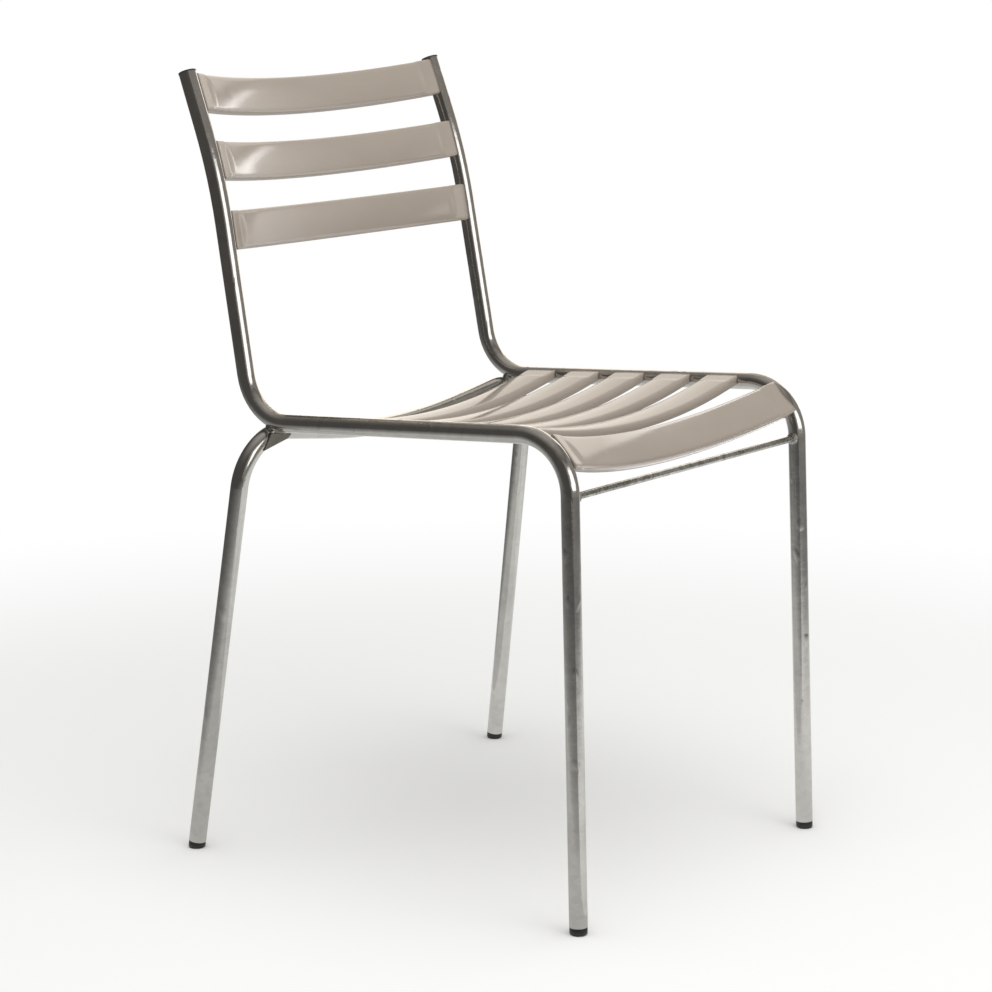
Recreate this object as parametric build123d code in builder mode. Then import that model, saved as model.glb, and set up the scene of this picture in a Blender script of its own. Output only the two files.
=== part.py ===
"""Stacking garden chair: bent steel tube frame with dished glass-fibre slats, sizes in mm.

The sitter faces -Y, +X is the sitter's left and Z = 0 is the floor. The origin lies on the
floor under the middle of the chair's outer box.
"""

import os
from math import asin, cos, degrees, radians, sin, sqrt, tan

from build123d import *

os.makedirs("parts", exist_ok=True)

# Tube and rod stock
tube_diameter = 18.0
tube_wall = 1.5
bend_radius = 54.0
rod_diameter = 7.0

# Side frames: one flat bent tube each, the whole frame leaning inwards at the top
rail_spacing = 392.6
side_lean = 0.75
front_corner_height = 481.0
rear_corner_height = 448.4
corner_depth = 401.8
front_leg_rake = 2.5
upright_recline = 10.85
upright_length = 251.2
head_recline = 21.6
head_length = 109.6
head_bend_radius = 545.0

# Rear legs: one tube bent to an arch, whose sagging bar carries both rails
foot_depth = 462.0
rear_foot_spacing = 501.0
rear_leg_rake = 7.9
rear_leg_splay = 2.5
bar_sag = 34.0
bar_bow_radius = 700.0
rod_height = 423.0

# Slats: a crowned channel with a flat solid tab at each end
slat_width = 40.0
slat_depth = 8.0
slat_wall = 3.0
slat_crown = 2.2
slat_edge_drop = 0.2
slat_edge_radius = 5.0
slat_corner_radius = 2.0
face_level = 7.0
tab_length = 18.0
tab_crown = 0.1
tab_edge_drop = 0.1
tab_edge_radius = 2.0
blend_length = 8.0
blend_stations = 5
top_slat_drop = 21.8
back_slat_count = 3
back_slat_pitch = 71.8
back_dish = 33.5
rear_slat_setback = 27.0
rail_slat_count = 5
seat_slat_pitch = 60.2
seat_dish = 24.0
front_slat_turn = 48.0
front_dish = 31.0

# Lugs and screws under the slat ends
lug_width = 20.0
lug_length = 28.0
lug_thickness = 3.0
lug_end_radius = 4.0
screw_inset = 12.5
screw_diameter = 5.0
screw_depth = 5.0
screw_head_diameter = 9.5
screw_head_height = 3.0
screw_head_round = 1.2
socket_size = 3.0
socket_depth = 1.6

# Glides, end plugs and weld beads
glide_height = 7.5
glide_diameter = 17.6
glide_round = 2.0
stem_length = 20.0
plug_diameter = 18.6
plug_thickness = 1.6
plug_round = 0.6
joint_bead_radius = 6.5
rod_bead_radius = 2.8

# Clearances
slat_gap = 0.3
weld_gap = 0.2
stem_gap = 0.1
screw_gap = 0.1
lug_hole_gap = 0.3

tube_radius = tube_diameter / 2
bore_radius = tube_radius - tube_wall


def ray(length, angle):
    """Step of a given length that leans back from the vertical, as depth and height."""
    return Vector(length * sin(radians(angle)), length * cos(radians(angle)))


# Corners of a side frame's centre line, as depth behind the front corner and height
front_corner = Vector(0, front_corner_height)
rear_corner = Vector(corner_depth, rear_corner_height)
head_corner = rear_corner + ray(upright_length, upright_recline)
head_top = head_corner + ray(head_length, head_recline)
front_leg_length = (front_corner_height - glide_height) / cos(radians(front_leg_rake))
front_foot = front_corner - ray(front_leg_length, front_leg_rake)

front_reach = front_foot.X - tube_radius
plug_reach = head_top.X + Vector(plug_diameter / 2, plug_thickness).rotate(Axis.Z, -head_recline).X
slat_back = Vector(back_dish + slat_depth - face_level, slat_width / 2 - top_slat_drop)
slat_reach = head_top.X + slat_back.rotate(Axis.Z, -head_recline).X
depth_middle = (front_reach + max(plug_reach, slat_reach)) / 2
rail_height = (front_corner_height + rear_corner_height) / 2
front_foot_half = rail_spacing / 2 + rail_height * tan(radians(side_lean))

side_plane = Plane(
    origin=(-front_foot_half, -depth_middle, 0),
    x_dir=(0, 1, 0),
    z_dir=(cos(radians(side_lean)), 0, -sin(radians(side_lean))),
)
with BuildLine(side_plane) as side_line:
    FilletPolyline(
        tuple(head_top),
        tuple(head_corner),
        tuple(rear_corner),
        tuple(front_corner),
        tuple(front_foot),
        radius=[head_bend_radius, bend_radius, bend_radius],
    )
side_path = side_line.wire()
stretches = [edge.length for edge in side_path.edges()]
rail_start = sum(stretches[:4])
front_bend_start = sum(stretches[:5])

# Centre line of the arch, raised until its tube meets the undersides of both rails
rear_foot_y = front_foot.X - glide_height * tan(radians(front_leg_rake)) + foot_depth - depth_middle
arch_plane = Plane(
    origin=(0, rear_foot_y, 0),
    x_dir=(1, 0, 0),
    z_dir=(0, -cos(radians(rear_leg_rake)), -sin(radians(rear_leg_rake))),
)


def arch_path(corner_height):
    """Centre line of the rear legs and bar for a given height of the leg corners."""
    lean = tan(radians(rear_leg_splay))
    foot_x = rear_foot_spacing / 2 - glide_height * lean
    corner_x = rear_foot_spacing / 2 - corner_height * lean
    with BuildLine(arch_plane) as line:
        FilletPolyline(
            (-foot_x, glide_height),
            (-corner_x, corner_height),
            (0, corner_height - bar_sag),
            (corner_x, corner_height),
            (foot_x, glide_height),
            radius=[bend_radius, bar_bow_radius, bend_radius],
        )
    return line.wire()


arch_height = rear_corner_height
for _ in range(8):
    arch_height += arch_path(arch_height).distance_to(side_path) - tube_diameter - weld_gap
rear_path = arch_path(arch_height)


def bar_along(path, radius):
    """Solid round bar along a centre line, for cutting whatever seats on the tube."""
    with BuildPart() as bar:
        with BuildSketch(Plane(path @ 0, z_dir=path % 0)):
            Circle(radius)
        sweep(path=path)
    return bar.part


rear_bar = bar_along(rear_path, tube_radius)
right_bar = bar_along(side_path, tube_radius)
side_bars = [right_bar, right_bar.mirror(Plane.YZ)]
right_cope = bar_along(side_path, tube_radius + slat_gap)
cope_bars = [right_cope, right_cope.mirror(Plane.YZ)]

# Frame tubes
with BuildPart() as right_side_tube:
    with BuildSketch(Plane(side_path @ 0, z_dir=side_path % 0)):
        Circle(tube_radius)
        Circle(bore_radius, mode=Mode.SUBTRACT)
    sweep(path=side_path)
right_side_tube.part.label = "right_side_tube"
export_step(right_side_tube.part, "parts/right_side_tube.step")

with BuildPart() as left_side_tube:
    mirror(right_side_tube.part, about=Plane.YZ)
left_side_tube.part.label = "left_side_tube"
export_step(left_side_tube.part, "parts/left_side_tube.step")

with BuildPart() as rear_leg_tube:
    with BuildSketch(Plane(rear_path @ 0, z_dir=rear_path % 0)):
        Circle(tube_radius)
        Circle(bore_radius, mode=Mode.SUBTRACT)
    sweep(path=rear_path)
rear_leg_tube.part.label = "rear_leg_tube"
export_step(rear_leg_tube.part, "parts/rear_leg_tube.step")

# Rod between the front legs, its ends cut to saddle the tubes
rod_corner_drop = (front_corner_height - rod_height) / cos(radians(front_leg_rake))
rod_end = side_plane.from_local_coords(front_corner - ray(rod_corner_drop, front_leg_rake))
with BuildPart() as front_cross_rod:
    with BuildSketch(Plane((0, rod_end.Y, rod_end.Z), z_dir=(1, 0, 0))):
        Circle(rod_diameter / 2)
    extrude(amount=-rod_end.X, both=True)
    add(side_bars, mode=Mode.SUBTRACT)
front_cross_rod.part.label = "front_cross_rod"
export_step(front_cross_rod.part, "parts/front_cross_rod.step")

# Weld beads
bead_x = -rod_end.X - tube_radius
with BuildPart() as front_rod_welds:
    for side in (-1, 1):
        with Locations(Plane((side * bead_x, rod_end.Y, rod_end.Z), z_dir=(1, 0, 0))):
            Torus(rod_diameter / 2, rod_bead_radius)
    add(front_cross_rod.part, mode=Mode.SUBTRACT)
    add(side_bars, mode=Mode.SUBTRACT)
front_rod_welds.part.label = "front_rod_welds"
export_step(front_rod_welds.part, "parts/front_rod_welds.step")

touch_arch, touch_rail = rear_path.distance_to_with_closest_points(side_path)[1:]
touch = (touch_arch + touch_rail) / 2
with BuildPart() as rear_joint_welds:
    with Locations(touch, (-touch.X, touch.Y, touch.Z)):
        Sphere(joint_bead_radius)
    add(side_bars, mode=Mode.SUBTRACT)
    add(rear_bar, mode=Mode.SUBTRACT)
rear_joint_welds.part.label = "rear_joint_welds"
export_step(rear_joint_welds.part, "parts/rear_joint_welds.step")


class SlatPlace:
    """Place of one slat across the side tubes, and the arc that it is bent to."""

    def __init__(self, distance, dish):
        middle = side_path.position_at(distance, PositionMode.LENGTH)
        slope = side_path.tangent_at(distance, PositionMode.LENGTH)
        self.dish = dish
        self.along = Vector(0, slope.Y, slope.Z).normalized()
        self.outward = self.along.cross(Vector(1, 0, 0))
        self.half_span = -middle.X - sqrt(tube_radius**2 - face_level**2)
        self.arc_radius = (self.half_span**2 + dish**2) / (2 * dish)
        self.face_end = Vector(0, middle.Y, middle.Z) + self.outward * face_level
        self.centre = self.face_end + self.outward * (self.arc_radius - dish)
        self.axis = Axis(self.centre, self.along)

    def turn(self, inset):
        """Angle on the arc, in degrees from the middle, at a distance in from the slat's end."""
        return degrees(asin(self.half_span / self.arc_radius) - inset / self.arc_radius)

    def radial(self, turn):
        return Vector(1, 0, 0) * sin(radians(turn)) - self.outward * cos(radians(turn))

    def section(self, turn):
        """Plane across the slat: sketch X runs along the tube, sketch Y is the arc's radius."""
        return Plane(self.centre, x_dir=self.along, z_dir=self.along.cross(self.radial(turn)))

    def fixings(self, drop):
        """Planes that face both screw places from below, at a depth under the slat's face."""
        planes = []
        for side in (-1, 1):
            down = self.radial(side * self.turn(screw_inset))
            planes.append(Plane(self.centre + down * (self.arc_radius + drop), x_dir=self.along, z_dir=-down))
        return planes


def slat_section(plane, radius, fullness=1, inset=0):
    """Section of a slat on its arc, from flat tab at 0 to full crown at 1; an inset gives the channel."""
    crown = tab_crown + (slat_crown - tab_crown) * fullness
    drop = tab_edge_drop + (slat_edge_drop - tab_edge_drop) * fullness
    edge_radius = tab_edge_radius + (slat_edge_radius - tab_edge_radius) * fullness
    half = slat_width / 2 - inset
    edge = radius + drop + inset
    with BuildSketch(plane) as section:
        with BuildLine():
            ThreePointArc((-half, edge), (0, radius - crown + inset), (half, edge))
            Polyline((half, edge), (half, radius + slat_depth), (-half, radius + slat_depth), (-half, edge))
        make_face()
        fillet(section.vertices().sort_by(Axis.Y)[:2], edge_radius - inset)
    return section.sketch


def make_slat(label, place):
    """One slat, with its ends coped to the tubes and a pilot hole in each tab."""
    radius = place.arc_radius
    pillow = place.turn(tab_length + blend_length)
    tab = place.turn(tab_length)
    tip = place.turn(-tube_diameter)
    with BuildPart() as slat:
        crowned = slat_section(place.section(-pillow), radius)
        revolve(crowned, axis=place.axis, revolution_arc=2 * pillow)
        for side in (-1, 1):
            blend = []
            for station in range(blend_stations):
                share = station / (blend_stations - 1)
                turn = side * place.turn(tab_length + blend_length * (1 - share))
                blend.append(slat_section(place.section(turn), radius, 1 - share**2))
            loft(blend)
            flat = slat_section(place.section(min(side * tab, side * tip)), radius, 0)
            revolve(flat, axis=place.axis, revolution_arc=tip - tab)
        channel = slat_section(place.section(-pillow), radius, inset=slat_wall)
        revolve(channel, axis=place.axis, revolution_arc=2 * pillow, mode=Mode.SUBTRACT)
        with BuildSketch(Plane(place.face_end, x_dir=(1, 0, 0), z_dir=place.outward)):
            RectangleRounded(2 * place.half_span, slat_width, slat_corner_radius)
        extrude(amount=place.dish + slat_depth + tube_diameter, both=True, mode=Mode.INTERSECT)
        add(cope_bars, mode=Mode.SUBTRACT)
        with Locations(*place.fixings(slat_depth)):
            Cylinder(screw_diameter / 2 + screw_gap, 2 * (screw_depth + screw_gap), mode=Mode.SUBTRACT)
    slat.part.label = label
    export_step(slat.part, f"parts/{label}.step")


front_slat_distance = front_bend_start + radians(front_slat_turn) * bend_radius
back_places = []
for i in range(back_slat_count):
    back_places.append(SlatPlace(top_slat_drop + i * back_slat_pitch, back_dish))
seat_places = []
for i in range(rail_slat_count):
    seat_places.append(SlatPlace(rail_start + rear_slat_setback + i * seat_slat_pitch, seat_dish))
seat_places.append(SlatPlace(front_slat_distance, front_dish))

make_slat("back_slat_top", back_places[0])
make_slat("back_slat_middle", back_places[1])
make_slat("back_slat_bottom", back_places[2])
for number, place in enumerate(seat_places, start=1):
    make_slat(f"seat_slat_{number}", place)

# Screw that holds a tab to its lug, pointing up from the underside of the lug
with BuildPart() as screw:
    Cylinder(screw_head_diameter / 2, screw_head_height, align=(Align.CENTER, Align.CENTER, Align.MAX))
    fillet(screw.edges().group_by(Axis.Z)[0], screw_head_round)
    with BuildSketch(Plane.XY.offset(-screw_head_height)):
        RegularPolygon(socket_size / 2, 6, major_radius=False)
    extrude(amount=socket_depth, mode=Mode.SUBTRACT)
    Cylinder(screw_diameter / 2, lug_thickness + screw_depth, align=(Align.CENTER, Align.CENTER, Align.MIN))


def make_fixings(group, places):
    """Steel lugs welded to the tubes under a group of slats, and the screws through them."""
    lug_planes = []
    head_planes = []
    for place in places:
        lug_planes += place.fixings(slat_depth)
        head_planes += place.fixings(slat_depth + lug_thickness)
    with BuildPart() as lugs:
        with BuildSketch(*lug_planes):
            RectangleRounded(lug_width, lug_length, lug_end_radius)
            Circle(screw_diameter / 2 + lug_hole_gap, mode=Mode.SUBTRACT)
        extrude(amount=-lug_thickness)
        add(side_bars, mode=Mode.SUBTRACT)
    lugs.part.label = f"{group}_lugs"
    export_step(lugs.part, f"parts/{group}_lugs.step")
    with BuildPart() as screws:
        with Locations(*head_planes):
            add(screw.part)
    screws.part.label = f"{group}_screws"
    export_step(screws.part, f"parts/{group}_screws.step")


make_fixings("back_slat", back_places)
make_fixings("seat_slat", seat_places)


def make_glide(place, tube_end, down):
    """Plastic foot in a leg's end, cut level with the floor, and its mirror image."""
    with BuildPart() as right_glide:
        with BuildSketch(Plane(tube_end, z_dir=down)):
            Circle(glide_diameter / 2)
        extrude(amount=2 * glide_height)
        split(bisect_by=Plane.XY, keep=Keep.TOP)
        fillet(right_glide.edges().group_by(Axis.Z)[0], glide_round)
        with BuildSketch(Plane(tube_end, z_dir=-down)):
            Circle(bore_radius - stem_gap)
        extrude(amount=stem_length)
    right_glide.part.label = f"{place}_right_glide"
    export_step(right_glide.part, f"parts/{place}_right_glide.step")
    with BuildPart() as left_glide:
        mirror(right_glide.part, about=Plane.YZ)
    left_glide.part.label = f"{place}_left_glide"
    export_step(left_glide.part, f"parts/{place}_left_glide.step")


make_glide("front", side_path @ 1, side_path % 1)
make_glide("rear", rear_path @ 0, -(rear_path % 0))

# Plugs that close the tops of the uprights
with BuildPart() as right_end_plug:
    with BuildSketch(Plane(side_path @ 0, z_dir=-(side_path % 0))):
        Circle(plug_diameter / 2)
    extrude(amount=plug_thickness)
    fillet(right_end_plug.edges().group_by(Axis(side_path @ 0, side_path % 0))[0], plug_round)
    with BuildSketch(Plane(side_path @ 0, z_dir=side_path % 0)):
        Circle(bore_radius - stem_gap)
    extrude(amount=stem_length)
right_end_plug.part.label = "right_end_plug"
export_step(right_end_plug.part, "parts/right_end_plug.step")

with BuildPart() as left_end_plug:
    mirror(right_end_plug.part, about=Plane.YZ)
left_end_plug.part.label = "left_end_plug"
export_step(left_end_plug.part, "parts/left_end_plug.step")
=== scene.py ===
import math

import bpy
from mathutils import Matrix, Vector


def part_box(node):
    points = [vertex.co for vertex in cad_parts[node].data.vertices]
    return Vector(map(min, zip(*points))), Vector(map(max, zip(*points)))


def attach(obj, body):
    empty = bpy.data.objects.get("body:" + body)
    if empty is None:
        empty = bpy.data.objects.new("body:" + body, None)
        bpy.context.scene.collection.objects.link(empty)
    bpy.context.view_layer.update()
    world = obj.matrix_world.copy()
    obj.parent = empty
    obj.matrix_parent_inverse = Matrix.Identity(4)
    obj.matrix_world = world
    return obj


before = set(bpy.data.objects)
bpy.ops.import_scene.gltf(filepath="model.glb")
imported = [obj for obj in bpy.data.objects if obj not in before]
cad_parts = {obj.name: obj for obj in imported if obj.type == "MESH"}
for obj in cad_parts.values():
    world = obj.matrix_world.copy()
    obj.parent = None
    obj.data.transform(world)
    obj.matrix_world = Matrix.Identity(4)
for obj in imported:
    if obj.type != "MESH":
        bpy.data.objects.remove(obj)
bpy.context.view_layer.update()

scene = bpy.context.scene
scene.view_settings.view_transform = "Standard"


# Small helpers

def linear(hex_colour):
    """Linear colour of an sRGB hex value."""
    shades = [int(hex_colour[i:i + 2], 16) / 255 for i in (1, 3, 5)]
    return [c / 12.92 if c <= 0.04045 else ((c + 0.055) / 1.055) ** 2.4 for c in shades] + [1]


def per_metre(size_mm):
    """How often a pattern of this size repeats in a metre."""
    return 1000 / size_mm


def metres(size_mm):
    """Metres of a size in millimetres."""
    return size_mm / 1000


def add(tree, kind, inputs=None, **settings):
    """A node with its settings. Each input takes a value, or the socket that feeds it."""
    node = tree.nodes.new(kind)
    for name, value in settings.items():
        setattr(node, name, value)
    for key, value in (inputs or {}).items():
        if isinstance(value, bpy.types.NodeSocket):
            tree.links.new(value, node.inputs[key])
        else:
            node.inputs[key].default_value = value
    return node


def new_material(name):
    """An empty material, its node tree and the place on the object in metres."""
    material = bpy.data.materials.new(name)
    material.use_nodes = True
    tree = material.node_tree
    tree.nodes.clear()
    place = add(tree, "ShaderNodeTexCoord").outputs["Object"]
    return material, tree, place


def mesh_object(name, points, faces, material):
    """An object in the scene from points and faces."""
    mesh = bpy.data.meshes.new(name)
    mesh.from_pydata(points, [], faces)
    mesh.materials.append(material)
    thing = bpy.data.objects.new(name, mesh)
    scene.collection.objects.link(thing)
    return thing


# Finishes

def galvanised_steel(name, pale, dark, smooth, dull,
                     speck_mm=3.5, speck_height_mm=0.1, speckle=0.0, run_height_mm=0.0):
    """Hot-dip galvanised steel: a grey mirror, broken by spangle, dull patches, specks and runs of zinc."""
    spangle_mm, patch_mm, ripple_mm, run_mm = 7, 45, 14, 9
    ripple_height_mm = 0.4
    drawn_down = (1, 1, 0.4)
    material, tree, place = new_material(name)
    spangle = add(tree, "ShaderNodeTexVoronoi", {"Vector": place, "Scale": per_metre(spangle_mm)})
    crystals = add(tree, "ShaderNodeSeparateColor", {"Color": spangle.outputs["Color"]})
    patches = add(tree, "ShaderNodeTexNoise", {
        "Vector": place, "Scale": per_metre(patch_mm), "Detail": 5.0, "Roughness": 0.6})
    specks = add(tree, "ShaderNodeTexNoise", {
        "Vector": place, "Scale": per_metre(speck_mm), "Detail": 3.0, "Roughness": 0.7})
    blend = add(tree, "ShaderNodeMath", {
        0: crystals.outputs["Red"], 1: 0.2, 2: patches.outputs["Fac"]}, operation="MULTIPLY_ADD")
    spots = add(tree, "ShaderNodeMath", {0: specks.outputs["Fac"], 1: 0.5}, operation="SUBTRACT")
    mottle = add(tree, "ShaderNodeMath", {
        0: spots.outputs[0], 1: speckle, 2: blend.outputs[0]}, operation="MULTIPLY_ADD")
    tone = add(tree, "ShaderNodeMapRange", {
        "Value": mottle.outputs[0], "From Min": 0.3, "From Max": 0.9})
    colour = add(tree, "ShaderNodeMix", {
        0: tone.outputs["Result"], 6: linear(dark), 7: linear(pale)}, data_type="RGBA")
    bloom = add(tree, "ShaderNodeMath", {
        0: specks.outputs["Fac"], 1: 0.5, 2: patches.outputs["Fac"]}, operation="MULTIPLY_ADD")
    gloss = add(tree, "ShaderNodeMapRange", {
        "Value": bloom.outputs[0], "From Min": 0.55, "From Max": 1.0, "To Min": smooth, "To Max": dull})
    ripple = add(tree, "ShaderNodeTexNoise", {
        "Vector": place, "Scale": per_metre(ripple_mm), "Detail": 2.0})
    rippled = add(tree, "ShaderNodeBump", {
        "Height": ripple.outputs["Fac"], "Strength": 0.35, "Distance": metres(ripple_height_mm)})
    specked = add(tree, "ShaderNodeBump", {
        "Height": specks.outputs["Fac"], "Strength": 0.3, "Distance": metres(speck_height_mm),
        "Normal": rippled.outputs["Normal"]})
    hanging = add(tree, "ShaderNodeVectorMath", {0: place, 1: drawn_down}, operation="MULTIPLY")
    drops = add(tree, "ShaderNodeTexNoise", {
        "Vector": hanging.outputs[0], "Scale": per_metre(run_mm), "Detail": 0.0})
    runs = add(tree, "ShaderNodeMapRange", {
        "Value": drops.outputs["Fac"], "From Min": 0.64, "From Max": 0.9}, interpolation_type="SMOOTHSTEP")
    relief = add(tree, "ShaderNodeBump", {
        "Height": runs.outputs["Result"], "Strength": 0.6, "Distance": metres(run_height_mm),
        "Normal": specked.outputs["Normal"]})
    shader = add(tree, "ShaderNodeBsdfPrincipled", {
        "Base Color": colour.outputs[2], "Metallic": 1.0, "Roughness": gloss.outputs["Result"],
        "Normal": relief.outputs["Normal"]})
    add(tree, "ShaderNodeOutputMaterial", {"Surface": shader.outputs["BSDF"]})
    return material


def weld_zinc(name):
    """Weld bead under zinc: lumpy, with the ripples of the weld pool, bright crests and dark hollows."""
    pool_mm, pool_height_mm, soot_mm = 3.2, 0.6, 4
    material, tree, place = new_material(name)
    pool = add(tree, "ShaderNodeTexWave", {
        "Vector": place, "Scale": per_metre(pool_mm), "Distortion": 4.0, "Detail": 2.0},
        bands_direction="DIAGONAL")
    soot = add(tree, "ShaderNodeTexNoise", {
        "Vector": place, "Scale": per_metre(soot_mm), "Detail": 4.0})
    colour = add(tree, "ShaderNodeMix", {
        0: soot.outputs["Fac"], 6: linear("#8E8B86"), 7: linear("#E6E4E0")}, data_type="RGBA")
    gloss = add(tree, "ShaderNodeMapRange", {
        "Value": soot.outputs["Fac"], "To Min": 0.32, "To Max": 0.16})
    relief = add(tree, "ShaderNodeBump", {
        "Height": pool.outputs["Fac"], "Strength": 0.8, "Distance": metres(pool_height_mm)})
    shader = add(tree, "ShaderNodeBsdfPrincipled", {
        "Base Color": colour.outputs[2], "Metallic": 1.0, "Roughness": gloss.outputs["Result"],
        "Normal": relief.outputs["Normal"]})
    add(tree, "ShaderNodeOutputMaterial", {"Surface": shader.outputs["BSDF"]})
    return material


def gel_coat(name):
    """Glass fibre under a warm grey gel coat: glossy, soft at its edges, faintly wavy and clouded."""
    cloud_mm, haze_mm, wave_mm, peel_mm = 60, 18, 30, 1.5
    edge_mm, wave_height_mm, peel_height_mm = 5, 0.5, 0.04
    material, tree, place = new_material(name)
    clouds = add(tree, "ShaderNodeTexNoise", {
        "Vector": place, "Scale": per_metre(cloud_mm), "Detail": 4.0, "Roughness": 0.55})
    colour = add(tree, "ShaderNodeMix", {
        0: clouds.outputs["Fac"], 6: linear("#9A9085"), 7: linear("#A4998E")}, data_type="RGBA")
    haze = add(tree, "ShaderNodeTexNoise", {
        "Vector": place, "Scale": per_metre(haze_mm), "Detail": 5.0, "Roughness": 0.65})
    gloss = add(tree, "ShaderNodeMapRange", {
        "Value": haze.outputs["Fac"], "From Min": 0.3, "From Max": 0.75, "To Min": 0.10, "To Max": 0.18})
    soft_edge = add(tree, "ShaderNodeBevel", {"Radius": metres(edge_mm)}, samples=8)
    wave = add(tree, "ShaderNodeTexNoise", {
        "Vector": place, "Scale": per_metre(wave_mm), "Detail": 1.0})
    swell = add(tree, "ShaderNodeBump", {
        "Height": wave.outputs["Fac"], "Strength": 0.3, "Distance": metres(wave_height_mm),
        "Normal": soft_edge.outputs["Normal"]})
    peel = add(tree, "ShaderNodeTexNoise", {
        "Vector": place, "Scale": per_metre(peel_mm), "Detail": 1.0})
    skin = add(tree, "ShaderNodeBump", {
        "Height": peel.outputs["Fac"], "Strength": 0.12, "Distance": metres(peel_height_mm),
        "Normal": swell.outputs["Normal"]})
    shader = add(tree, "ShaderNodeBsdfPrincipled", {
        "Base Color": colour.outputs[2], "Roughness": gloss.outputs["Result"], "IOR": 1.52,
        "Normal": skin.outputs["Normal"]})
    add(tree, "ShaderNodeOutputMaterial", {"Surface": shader.outputs["BSDF"]})
    return material


def moulded_plastic(name, deep, worn, rough):
    """Moulded polyethylene: dark, satin, with a fine mould grain and paler scuffs."""
    scuff_mm, grain_mm, grain_height_mm = 3, 0.6, 0.05
    material, tree, place = new_material(name)
    scuffs = add(tree, "ShaderNodeTexNoise", {
        "Vector": place, "Scale": per_metre(scuff_mm), "Detail": 6.0, "Roughness": 0.7})
    worn_share = add(tree, "ShaderNodeMapRange", {
        "Value": scuffs.outputs["Fac"], "From Min": 0.5, "From Max": 0.8})
    colour = add(tree, "ShaderNodeMix", {
        0: worn_share.outputs["Result"], 6: linear(deep), 7: linear(worn)}, data_type="RGBA")
    gloss = add(tree, "ShaderNodeMapRange", {
        "Value": scuffs.outputs["Fac"], "To Min": rough - 0.08, "To Max": rough + 0.12})
    grain = add(tree, "ShaderNodeTexNoise", {
        "Vector": place, "Scale": per_metre(grain_mm), "Detail": 1.0})
    relief = add(tree, "ShaderNodeBump", {
        "Height": grain.outputs["Fac"], "Strength": 0.2, "Distance": metres(grain_height_mm)})
    shader = add(tree, "ShaderNodeBsdfPrincipled", {
        "Base Color": colour.outputs[2], "Roughness": gloss.outputs["Result"], "IOR": 1.51,
        "Normal": relief.outputs["Normal"]})
    add(tree, "ShaderNodeOutputMaterial", {"Surface": shader.outputs["BSDF"]})
    return material


finishes = {
    "galvanised_tube": galvanised_steel(
        "galvanised_steel_tube", pale="#E6E4DF", dark="#D0CDC8", smooth=0.09, dull=0.19,
        speck_height_mm=0.07, run_height_mm=0.5),
    "galvanised_rod": galvanised_steel(
        "galvanised_steel_rod", pale="#ECEBE6", dark="#8C8B82", smooth=0.12, dull=0.24,
        speck_mm=2.4, speck_height_mm=0.6, speckle=1.6),
    "weld_bead": weld_zinc("zinc_coated_weld"),
    "slat": gel_coat("gel_coated_glass_fibre"),
    "lug": galvanised_steel(
        "galvanised_steel_sheet", pale="#BDBBB6", dark="#96938E", smooth=0.24, dull=0.42),
    "screw": galvanised_steel(
        "zinc_plated_screw_steel", pale="#C6C5C1", dark="#A8A6A1", smooth=0.18, dull=0.32),
    "glide": moulded_plastic("black_polyethylene", deep="#141414", worn="#2A2A2A", rough=0.42),
    "end_plug": moulded_plastic("grey_polyethylene", deep="#33312F", worn="#4A4744", rough=0.46),
}
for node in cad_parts.values():
    for material_slot in node.material_slots:
        material_slot.material = finishes[material_slot.material.name.split(".")[0]]


# Gusset plates across the front of the rear arch's bends, let into its tube

# Galvanised plate whose dark colour is painted shade, standing in for the shade in the crook under the rail
shaded_gusset_steel = galvanised_steel(
    "galvanised_plate_painted_shade", pale="#87857B", dark="#6B695F", smooth=0.28, dull=0.42)
tube_radius = 0.009
leg_rake = math.radians(7.9)
front_way = Vector((0, -math.cos(leg_rake), -math.sin(leg_rake)))
arch_up = Vector((0, -math.sin(leg_rake), math.cos(leg_rake)))
leg_low, leg_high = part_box("rear_leg_tube")
arch_middle = Vector((0, leg_high[1], leg_low[2])).dot(front_way) + tube_radius
# Corners: distance from the middle and height up the arch. Faces: distance ahead of the tube's middle
gusset_corners = ((0.2125, 0.4025), (0.1775, 0.4108), (0.1725, 0.415), (0.2035, 0.42))
gusset_faces = (0.006, 0.0098)
gusset_edge = 0.0004
back_and_front = [(3, 2, 1, 0), (4, 5, 6, 7)]
rims = [(i, (i + 1) % 4, (i + 1) % 4 + 4, i + 4) for i in range(4)]
for name, side in (("right_gusset", -1), ("left_gusset", 1)):
    points = []
    for ahead in gusset_faces:
        plane = (arch_middle + ahead) * front_way
        for outward, upward in gusset_corners[::-side]:
            points.append(Vector((side * outward, 0, 0)) + upward * arch_up + plane)
    gusset = mesh_object(name, points, back_and_front + rims, shaded_gusset_steel)
    gusset.modifiers.new("rounded_edges", "BEVEL").width = gusset_edge
    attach(gusset, "root")


# Stage pieces. A bearing is in degrees from +X toward +Y, and a reach is in metres from the middle

def round_the_middle(reach, bearing, height):
    """The point at a reach, bearing and height."""
    angle = math.radians(bearing)
    return reach * math.cos(angle), reach * math.sin(angle), height


def stage_mesh(name, points, faces, material):
    """A mesh that belongs to the stage."""
    thing = mesh_object(name, points, faces, material)
    return thing


def panel(name, reach, corners, material):
    """A flat softbox through corners of bearing and height."""
    points = [round_the_middle(reach, bearing, height) for bearing, height in corners]
    softbox = stage_mesh(name, points, [tuple(range(len(points)))], material)
    softbox.visible_camera = False
    softbox.visible_shadow = False
    return softbox


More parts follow.
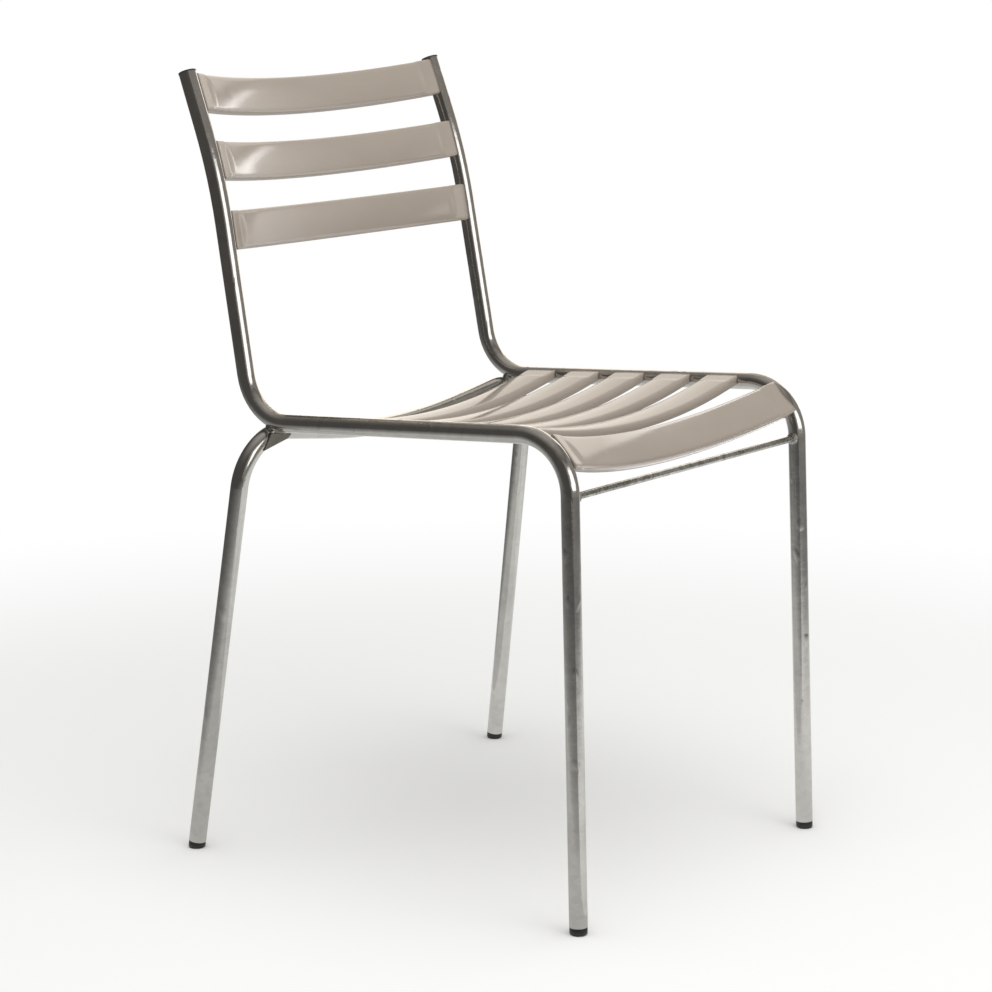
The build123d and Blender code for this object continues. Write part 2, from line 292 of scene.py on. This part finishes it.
def turned_card(name, profile, start, end, material):
    """A card turned about the upright axis from one bearing to another, seen only in reflections."""
    degrees_per_step = 5
    steps = max(2, round((end - start) / degrees_per_step))
    points, faces = [], []
    for i in range(steps + 1):
        bearing = start + (end - start) * i / steps
        points += [round_the_middle(reach, bearing, height) for reach, height in profile]
    row = len(profile)
    for i in range(steps):
        for j in range(row - 1):
            a = i * row + j
            faces.append((a, a + 1, a + row + 1, a + row))
    card = stage_mesh(name, points, faces, material)
    card.visible_camera = False
    card.visible_transmission = False
    card.visible_diffuse = False
    card.visible_shadow = False
    material.cycles.emission_sampling = "NONE"
    return card


def flag_off(softbox, lit):
    """Keep the light of a panel or card off everything but the given pieces."""
    reached = bpy.data.collections.new(softbox.name)
    for piece in lit:
        reached.objects.link(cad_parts[piece])
    softbox.light_linking.receiver_collection = reached


# Stage materials

def shine(tree, hex_colour, strength, sheer=False):
    """End a stage material in light; a sheer one also lets through what is behind it."""
    light = add(tree, "ShaderNodeEmission", {"Color": linear(hex_colour), "Strength": strength})
    surface = light.outputs[0]
    if sheer:
        clear = add(tree, "ShaderNodeBsdfTransparent")
        surface = add(tree, "ShaderNodeAddShader", {0: surface, 1: clear.outputs[0]}).outputs[0]
    add(tree, "ShaderNodeOutputMaterial", {"Surface": surface})


def glow(name, hex_colour, strength, sheer=False):
    """A card or panel of one even brightness."""
    material, tree, _ = new_material(name)
    shine(tree, hex_colour, strength, sheer)
    return material


def upright_fade(name, low, high, low_level, high_level):
    """A sheer white panel whose brightness changes with height."""
    material, tree, place = new_material(name)
    spot = add(tree, "ShaderNodeSeparateXYZ", {0: place})
    level = add(tree, "ShaderNodeMapRange", {
        "Value": spot.outputs["Z"], "From Min": low, "From Max": high,
        "To Min": low_level, "To Max": high_level})
    shine(tree, "#FFFFFF", level.outputs["Result"], True)
    return material


def side_fade(name, dark_bearing, bright_bearing, bright_level, fade_low, fade_high):
    """A sheer white panel that brightens from one bearing to another and fades out at its top."""
    material, tree, place = new_material(name)
    spot = add(tree, "ShaderNodeSeparateXYZ", {0: place})
    bearing = add(tree, "ShaderNodeMath", {
        0: spot.outputs["Y"], 1: spot.outputs["X"]}, operation="ARCTAN2")
    across = add(tree, "ShaderNodeMapRange", {
        "Value": bearing.outputs[0], "From Min": math.radians(dark_bearing),
        "From Max": math.radians(bright_bearing), "To Max": bright_level})
    upward = add(tree, "ShaderNodeMapRange", {
        "Value": spot.outputs["Z"], "From Min": fade_low, "From Max": fade_high,
        "To Min": 1.0, "To Max": 0.0})
    level = add(tree, "ShaderNodeMath", {
        0: across.outputs["Result"], 1: upward.outputs["Result"]}, operation="MULTIPLY")
    shine(tree, "#FFFFFF", level.outputs[0], True)
    return material


def pale_floor(name, shadow_reach, white_reach):
    """Pale painted floor: it keeps the chair's shadow and turns to the white of the backdrop further out."""
    material, tree, place = new_material(name)
    paint = add(tree, "ShaderNodeBsdfDiffuse", {"Color": linear("#F8F8F6")})
    white = add(tree, "ShaderNodeEmission", {"Strength": 1.0})
    reach = add(tree, "ShaderNodeVectorMath", {0: place}, operation="LENGTH")
    fade = add(tree, "ShaderNodeMapRange", {
        "Value": reach.outputs["Value"], "From Min": shadow_reach, "From Max": white_reach},
        interpolation_type="SMOOTHSTEP")
    ray = add(tree, "ShaderNodeLightPath")
    seen = add(tree, "ShaderNodeMath", {
        0: ray.outputs["Is Camera Ray"], 1: ray.outputs["Is Glossy Ray"]}, operation="MAXIMUM")
    share = add(tree, "ShaderNodeMath", {
        0: fade.outputs["Result"], 1: seen.outputs[0]}, operation="MULTIPLY")
    mixed = add(tree, "ShaderNodeMixShader", {
        0: share.outputs[0], 1: paint.outputs["BSDF"], 2: white.outputs["Emission"]})
    add(tree, "ShaderNodeOutputMaterial", {"Surface": mixed.outputs["Shader"]})
    return material


def dark_cloth(name, eye_level):
    """Dark tent cloth that gets lighter overhead, as seen from the chair at eye level."""
    material, tree, place = new_material(name)
    sight = add(tree, "ShaderNodeVectorMath", {0: place, 1: (0, 0, eye_level)}, operation="SUBTRACT")
    way = add(tree, "ShaderNodeVectorMath", {0: sight.outputs[0]}, operation="NORMALIZE")
    upward = add(tree, "ShaderNodeSeparateXYZ", {0: way.outputs[0]})
    climb = add(tree, "ShaderNodeMapRange", {"Value": upward.outputs["Z"], "From Min": 0.35})
    curve = add(tree, "ShaderNodeMath", {0: climb.outputs["Result"], 1: 2.0}, operation="POWER")
    level = add(tree, "ShaderNodeMapRange", {
        "Value": curve.outputs[0], "To Min": 0.075, "To Max": 0.38})
    shine(tree, "#FFF9F2", level.outputs["Result"])
    return material


def side_sheen(name, hex_colour):
    """Sheen of the floor beside the chair, which falls off with the reach."""
    near_reach, source_reach, level_at_metre = 0.58, 0.1, 0.25
    material, tree, place = new_material(name)
    reach = add(tree, "ShaderNodeVectorMath", {0: place}, operation="LENGTH")
    beyond = add(tree, "ShaderNodeMath", {0: reach.outputs["Value"], 1: near_reach}, operation="MAXIMUM")
    outside = add(tree, "ShaderNodeMath", {0: beyond.outputs[0], 1: source_reach}, operation="SUBTRACT")
    level = add(tree, "ShaderNodeMath", {0: level_at_metre, 1: outside.outputs[0]}, operation="DIVIDE")
    shine(tree, hex_colour, level.outputs[0])
    return material


def round_sheen(name, hex_colour, far_reach, bright, dim):
    """Sheen of the floor before and behind the chair: dimmer under it and further out."""
    bright_reach, shade_low, shade_high, shade_level = 0.7, 0.35, 0.75, 0.86
    material, tree, place = new_material(name)
    reach = add(tree, "ShaderNodeVectorMath", {0: place}, operation="LENGTH")
    falloff = add(tree, "ShaderNodeMapRange", {
        "Value": reach.outputs["Value"], "From Min": bright_reach, "From Max": far_reach,
        "To Min": bright, "To Max": dim}, interpolation_type="SMOOTHSTEP")
    shade = add(tree, "ShaderNodeMapRange", {
        "Value": reach.outputs["Value"], "From Min": shade_low, "From Max": shade_high,
        "To Min": shade_level})
    level = add(tree, "ShaderNodeMath", {
        0: falloff.outputs["Result"], 1: shade.outputs["Result"]}, operation="MULTIPLY")
    shine(tree, hex_colour, level.outputs[0])
    return material


# Floor

floor_radius = 14.0
rim = [round_the_middle(floor_radius, bearing, 0) for bearing in range(0, 360, 6)]
floor_paint = pale_floor("pale_studio_floor", shadow_reach=0.55, white_reach=1.6)
stage_mesh("floor", rim, [tuple(range(len(rim)))], floor_paint)


# Dark tent all round, lighter overhead; before it a grey wall in front and a white backdrop behind

axis_gap = 0.02
tent_reach, tent_top = 3.3, 3.5
wall_reach, wall_top = 3.28, 3.3
backdrop_reach, backdrop_top = 3.26, 2.9
roll_reach, roll_top = 1.2, 3.45
tent_line = [(tent_reach, 0), (tent_reach, tent_top), (axis_gap, tent_top)]
wall_line = [(wall_reach, 0), (wall_reach, wall_top)]
backdrop_line = [(backdrop_reach, 0), (backdrop_reach, backdrop_top)]
roll_line = [(backdrop_reach, backdrop_top), (roll_reach, roll_top)]
tent_cloth = dark_cloth("dark_tent_cloth", eye_level=0.6)
grey_wall = glow("grey_wall", "#898581", 1.0)
white_backdrop = glow("white_backdrop", "#FFF6EA", 1.35)
backdrop_roll = glow("backdrop_roll", "#FFF9F2", 0.5)
turned_card("dark_tent", tent_line, start=0, end=360, material=tent_cloth)
turned_card("front_wall", wall_line, start=228, end=356, material=grey_wall)
turned_card("backdrop", backdrop_line, start=0, end=50, material=white_backdrop)
turned_card("backdrop_top", roll_line, start=-12, end=65, material=backdrop_roll)


# Softboxes

softbox_reach, strip_reach, high_reach = 3.15, 2.8, 2.2
front_corners = [(246, 0.6), (297, 0.6), (284, 2.25), (246, 2.25)]
side_corners = [(-50, 0.02), (-8, 0.02), (-8, 2.6), (-50, 2.6)]
strip_corners = [(-11.5, 0.75), (-5.5, 0.75), (-9.5, 1.95), (-13, 1.95)]
high_corners = [(-5, 1.4), (28, 1.4), (28, 3.1), (2, 3.1)]
back_slats = ("back_slat_top", "back_slat_middle", "back_slat_bottom")
upper_back_slats = back_slats[:2]
front_slat = ("seat_slat_6",)

# The front one lights the whole chair
panel("front_softbox", softbox_reach, front_corners, glow("front_panel", "#FFFFFF", 1.6))

# The side one brightens toward the near ends of the back slats
side_panel = side_fade(
    "side_panel", dark_bearing=-50, bright_bearing=-10, bright_level=1.65, fade_low=1.4, fade_high=2.6)
flag_off(panel("side_softbox", softbox_reach, side_corners, side_panel), back_slats)

# The strip draws the diagonal gleam across the upper two back slats
bright_strip = upright_fade("bright_strip", low=0.9, high=2.0, low_level=6.0, high_level=2.5)
flag_off(panel("strip_softbox", strip_reach, strip_corners, bright_strip), upper_back_slats)

# The high one brightens the near end of the front slat
high_panel = upright_fade("high_panel", low=1.4, high=2.6, low_level=0.4, high_level=4.5)
flag_off(panel("high_softbox", high_reach, high_corners, high_panel), front_slat)


# White board on the floor, which lifts the lower edges of the back slats and of the front slat

board_lift, board_near, board_far = 0.012, 0.5, 2.6
board_line = [(board_near, board_lift), (board_far, board_lift)]
white_board = glow("floor_board", "#FFFFFF", 1.7, sheer=True)
board = turned_card("floor_board", board_line, start=-48, end=8, material=white_board)
flag_off(board, back_slats + front_slat)


# Sheen of the floor in the tubes

sheen_colour = "#FBFBF9"
sheen_lift = 0.004
sheen_line = [(axis_gap, sheen_lift), (tent_reach, sheen_lift)]
beside = side_sheen("side_floor_sheen", sheen_colour)
before = round_sheen("floor_sheen_front", sheen_colour, far_reach=2.1, bright=0.8, dim=0.2)
behind = round_sheen("floor_sheen_back", sheen_colour, far_reach=1.8, bright=0.8, dim=0.58)
turned_card("floor_sheen_side", sheen_line, start=65, end=242, material=beside)
turned_card("floor_sheen_front", sheen_line, start=242, end=345, material=before)
turned_card("floor_sheen_back", sheen_line, start=345, end=425, material=behind)


# Overhead lamp, which casts the soft shadow

lamp_place = Vector((-0.4, -0.7, 2.9))
lamp_target = Vector((0, 0, 0.3))
lamp = bpy.data.lights.new("overhead_softbox", "AREA")
lamp.shape = "SQUARE"
lamp.size = 2.6
lamp.energy = 45.0
overhead = bpy.data.objects.new("overhead_softbox", lamp)
overhead.location = lamp_place
overhead.rotation_euler = (lamp_target - lamp_place).to_track_quat("-Z", "Y").to_euler()
overhead.visible_glossy = False
scene.collection.objects.link(overhead)


# White world, which lights the chair a little less than it shows

world_light, world_white = 0.6, 1.0
world = bpy.data.worlds.new("white_studio")
scene.world = world
world.use_nodes = True
tree = world.node_tree
tree.nodes.clear()
ray = add(tree, "ShaderNodeLightPath")
either = add(tree, "ShaderNodeMath", {
    0: ray.outputs["Is Camera Ray"], 1: ray.outputs["Is Glossy Ray"]}, operation="MAXIMUM")
shown = add(tree, "ShaderNodeMath", {
    0: either.outputs[0], 1: ray.outputs["Is Transmission Ray"]}, operation="MAXIMUM")
level = add(tree, "ShaderNodeMapRange", {
    "Value": shown.outputs[0], "To Min": world_light, "To Max": world_white})
sky = add(tree, "ShaderNodeBackground", {"Color": linear("#FFFFFF"), "Strength": level.outputs["Result"]})
add(tree, "ShaderNodeOutputWorld", {"Surface": sky.outputs["Background"]})


# Camera at the photograph's viewing angle

photo_width_pixels = 992
focal_pixels = 2725.5
camera_place = Vector((-2.18595, -1.73318, 0.94944))
turn, tilt, roll = math.radians(-51.660), math.radians(11.936), math.radians(0.149)
lens = bpy.data.cameras.new("camera")
lens.sensor_width = 36
lens.lens = focal_pixels / photo_width_pixels * lens.sensor_width
camera = bpy.data.objects.new("camera", lens)
camera.matrix_world = (
    Matrix.Translation(camera_place)
    @ Matrix.Rotation(turn, 4, "Z")
    @ Matrix.Rotation(math.pi / 2 - tilt, 4, "X")
    @ Matrix.Rotation(roll, 4, "Z")
)
scene.collection.objects.link(camera)
scene.camera = camera
